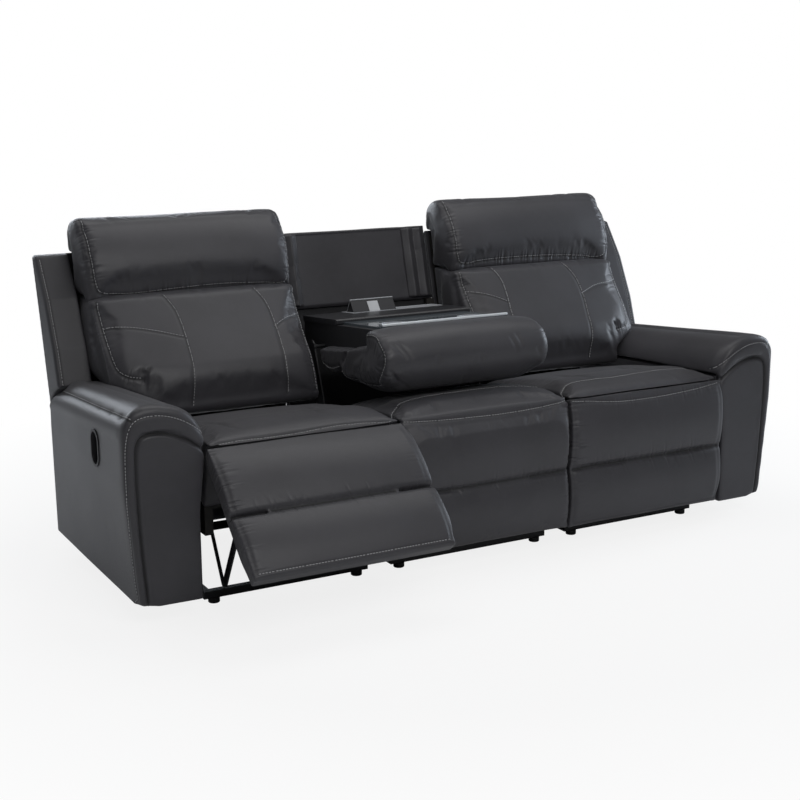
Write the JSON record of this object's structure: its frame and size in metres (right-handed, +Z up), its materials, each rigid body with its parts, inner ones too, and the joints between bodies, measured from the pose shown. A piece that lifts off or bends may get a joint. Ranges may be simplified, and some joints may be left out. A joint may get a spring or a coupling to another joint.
{
  "type": "reclining sofa with drop down console",
  "caption": "Upholstered three-seat sofa with reclining side seats and rising footrests, and a centre back that folds down into a console with cup holders and a pop-up power module.",
  "frame": {"origin": "on the floor under the middle of the bounding box, with the left footrest partly raised, the console folded down and both backs upright", "axes": "+X towards the sofa's right end as seen from the front, +Y to the rear, +Z up"},
  "size_m": [2.2726, 1.24, 1.0429],
  "materials": {
    "leather": "satin",
    "side_leather": "satin",
    "back_cloth": "matte",
    "dark_board": "matte",
    "black_steel": "satin",
    "spring_steel": "satin",
    "black_plastic": "matte",
    "silver_plastic": "satin",
    "white_plastic": "satin",
    "glide_plastic": "matte"
  },
  "bodies": {
    "frame": {"base_cross_tubes": "black_steel", "base_side_rails": "black_steel", "glide_feet": "glide_plastic", "mechanism_plates": "black_steel", "left_arm_frame": "dark_board", "left_arm_pad": "leather", "left_arm_side_panel": "side_leather", "left_arm_facing": "leather", "left_arm_front_panel": "leather", "right_arm_frame": "dark_board", "right_arm_pad": "leather", "right_arm_side_panel": "side_leather", "right_arm_facing": "leather", "right_arm_front_panel": "leather", "handle_bezels": "silver_plastic", "release_cables": "black_plastic", "centre_seat_frame": "dark_board", "centre_seat_cushion": "leather", "centre_front_pads": "leather", "rear_covers": "back_cloth", "centre_back_panel": "leather", "centre_back_frame": "dark_board", "centre_gussets": "leather", "console_brackets": "black_steel", "power_inlet": "black_plastic"},
    "left_seat": {"left_seat_frame": "dark_board", "left_seat_springs": "spring_steel", "left_seat_cushion": "leather"},
    "left_back": {"left_back_shell": "back_cloth", "left_back_frame": "dark_board", "left_back_cushion": "leather", "left_headrest": "leather"},
    "left_footrest": {"left_footrest_upper_pad": "leather", "left_footrest_lower_pad": "leather", "left_footrest_board": "dark_board"},
    "left_rear_links": {"left_rear_links": "black_steel"},
    "left_front_links": {"left_front_links": "black_steel"},
    "left_handle": {"left_handle": "black_plastic"},
    "right_seat": {"right_seat_frame": "dark_board", "right_seat_springs": "spring_steel", "right_seat_cushion": "leather"},
    "right_back": {"right_back_shell": "back_cloth", "right_back_frame": "dark_board", "right_back_cushion": "leather", "right_headrest": "leather"},
    "right_footrest": {"right_footrest_upper_pad": "leather", "right_footrest_lower_pad": "leather", "right_footrest_board": "dark_board"},
    "right_rear_links": {"right_rear_links": "black_steel"},
    "right_front_links": {"right_front_links": "black_steel"},
    "right_handle": {"right_handle": "black_plastic"},
    "console": {"console_box": "black_plastic", "console_tray": "silver_plastic", "cup_liners": "silver_plastic", "console_rear_plate": "black_plastic", "module_bezel": "silver_plastic", "console_cushion": "leather"},
    "power_module": {"power_module_lid": "silver_plastic", "power_module_body": "black_plastic", "usb_insert": "white_plastic"}
  },
  "joints": [
    {"name": "left_recline", "type": "hinge", "parent": "frame", "child": "left_back", "pos_m": [-0.6235, 0.2989, 0.3], "axis": [-1, 0, 0], "range_deg": [0, 25]},
    {"name": "left_seat_slide", "type": "slide", "parent": "frame", "child": "left_seat", "axis": [0, -1, 0], "range_m": [0, 0.04]},
    {"name": "left_footrest", "type": "hinge", "parent": "left_seat", "child": "left_footrest", "pos_m": [-0.6235, -0.3151, 0.48], "axis": [-1, 0, 0], "range_deg": [-47, 38]},
    {"name": "left_rear_link", "type": "hinge", "parent": "left_seat", "child": "left_rear_links", "pos_m": [-0.6235, -0.1941, 0.2695], "axis": [-1, 0, 0], "range_deg": [-47, 38]},
    {"name": "left_front_link", "type": "hinge", "parent": "left_rear_links", "child": "left_front_links", "pos_m": [-0.6235, -0.29789, 0.08703], "axis": [-1, 0, 0], "range_deg": [-38, 47]},
    {"name": "left_handle", "type": "hinge", "parent": "frame", "child": "left_handle", "pos_m": [-1.1156, -0.0601, 0.455], "axis": [0, 0, 1], "range_deg": [0, 30], "stiffness_Nm_per_rad": 0.5},
    {"name": "right_recline", "type": "hinge", "parent": "frame", "child": "right_back", "pos_m": [0.6235, 0.2989, 0.3], "axis": [-1, 0, 0], "range_deg": [0, 25]},
    {"name": "right_seat_slide", "type": "slide", "parent": "frame", "child": "right_seat", "axis": [0, -1, 0], "range_m": [0, 0.04]},
    {"name": "right_footrest", "type": "hinge", "parent": "right_seat", "child": "right_footrest", "pos_m": [0.6235, -0.3151, 0.48], "axis": [-1, 0, 0], "range_deg": [0, 85]},
    {"name": "right_rear_link", "type": "hinge", "parent": "right_seat", "child": "right_rear_links", "pos_m": [0.6235, -0.1941, 0.2695], "axis": [-1, 0, 0], "range_deg": [0, 85]},
    {"name": "right_front_link", "type": "hinge", "parent": "right_rear_links", "child": "right_front_links", "pos_m": [0.6235, -0.13143, 0.06915], "axis": [-1, 0, 0], "range_deg": [-85, 0]},
    {"name": "right_handle", "type": "hinge", "parent": "frame", "child": "right_handle", "pos_m": [1.1156, -0.0601, 0.455], "axis": [0, 0, -1], "range_deg": [0, 30], "stiffness_Nm_per_rad": 0.5},
    {"name": "console_fold", "type": "hinge", "parent": "frame", "child": "console", "pos_m": [0, 0.2899, 0.608], "axis": [-1, 0, 0], "range_deg": [0, 116]},
    {"name": "power_module_tilt", "type": "hinge", "parent": "console", "child": "power_module", "pos_m": [0, 0.42643, 0.6786], "axis": [-1, 0, 0], "range_deg": [-58, 0]}
  ],
  "couplings": [
    {"joint": "left_seat_slide", "follows": "left_recline", "m_per_rad": 0.091672},
    {"joint": "left_rear_link", "follows": "left_footrest", "ratio": 1},
    {"joint": "left_front_link", "follows": "left_footrest", "ratio": -1},
    {"joint": "right_seat_slide", "follows": "right_recline", "m_per_rad": 0.091672},
    {"joint": "right_rear_link", "follows": "right_footrest", "ratio": 1},
    {"joint": "right_front_link", "follows": "right_footrest", "ratio": -1}
  ]
}
